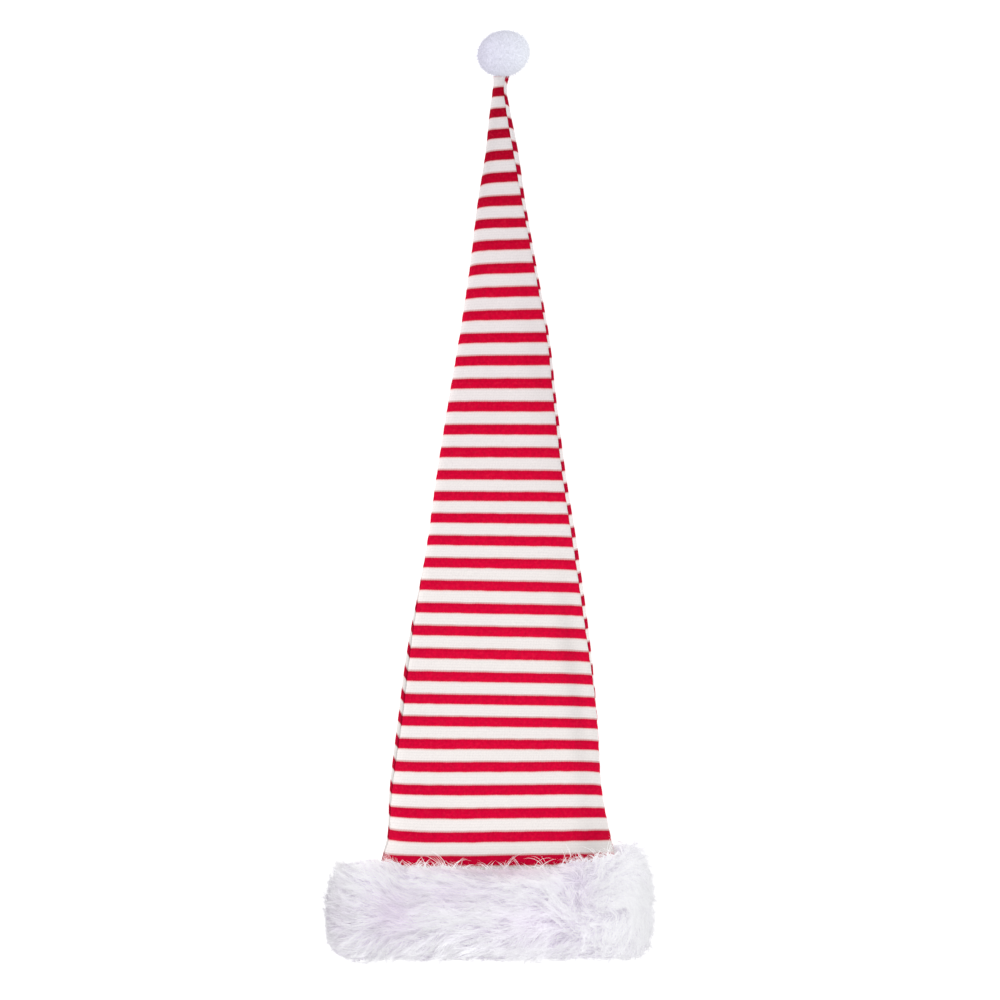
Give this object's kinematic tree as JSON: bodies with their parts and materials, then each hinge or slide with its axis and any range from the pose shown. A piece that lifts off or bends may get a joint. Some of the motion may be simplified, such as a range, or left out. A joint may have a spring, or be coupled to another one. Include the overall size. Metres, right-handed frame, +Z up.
{
  "type": "long santa hat",
  "caption": "Very long tapered santa hat of striped jersey, lying flat, with a deep fur cuff round its open mouth and a pompom at the tip.",
  "frame": {"origin": "middle of the hat's outline seen from above, on the floor that it lies on", "axes": "+Y along the hat from the cuff to the pompom, +Z up from the floor, +X to the right seen from above with the pompom away"},
  "size_m": [0.33, 0.928, 0.073],
  "materials": {
    "striped_jersey": "soft matte knitted jersey, red and white stripes with a thin tan line",
    "cuff_fur": "long soft white faux fur",
    "pompom_fibre": "short dense white pile"
  },
  "bodies": {
    "root": {"front_panel": "striped_jersey", "back_panel": "striped_jersey", "fur_cuff": "cuff_fur", "pompom": "pompom_fibre"}
  },
  "joints": []
}
